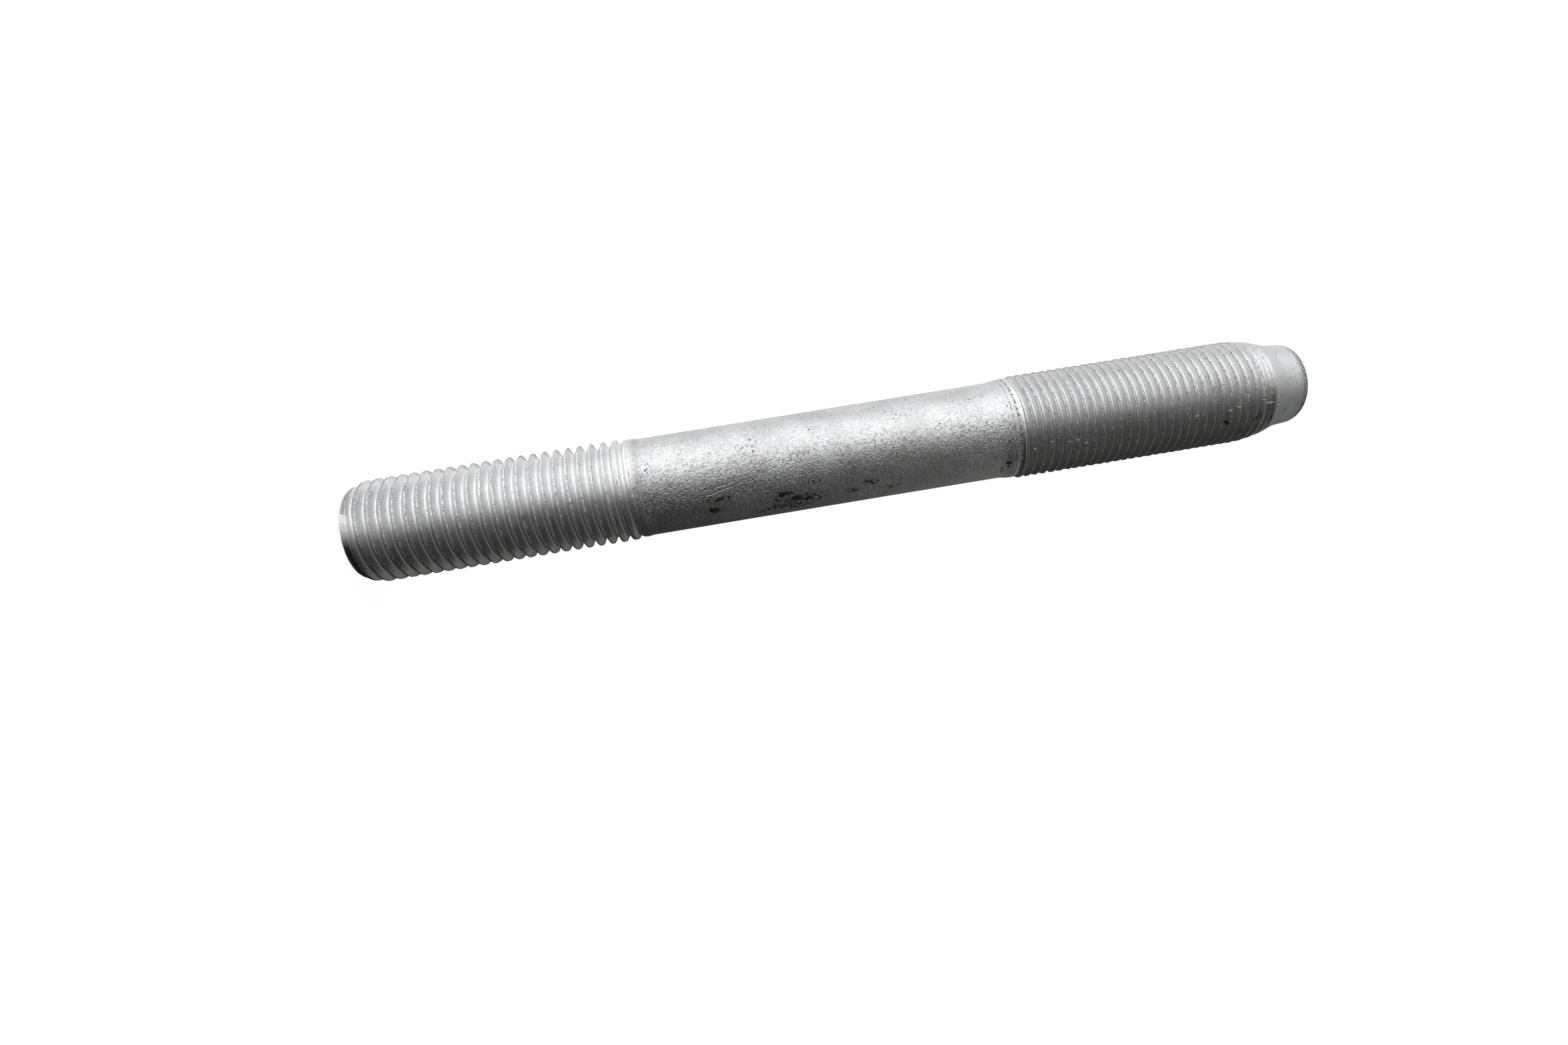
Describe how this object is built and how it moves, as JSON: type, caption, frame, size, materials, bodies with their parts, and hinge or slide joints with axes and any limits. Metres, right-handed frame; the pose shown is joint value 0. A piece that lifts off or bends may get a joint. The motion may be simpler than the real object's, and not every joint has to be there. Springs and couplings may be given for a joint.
{
  "type": "wheel stud",
  "caption": "Double-ended wheel stud: coarse hub thread, plain shank, fine nut thread and a tapered dog point.",
  "frame": {"origin": "centre of the flat face on the hub end, on the surface that the stud stands on", "axes": "+Z along the stud's axis from the hub end to the dog point; X and Y are any two radial directions, because the solid is round"},
  "size_m": [0.0222, 0.0222, 0.2046],
  "materials": {
    "coated_steel": "rolled steel with a thin silver-grey zinc flake coating, satin, finely wrinkled on the shank, with small dark pits and scale marks"
  },
  "bodies": {
    "root": {"stud": "coated_steel"}
  },
  "joints": []
}
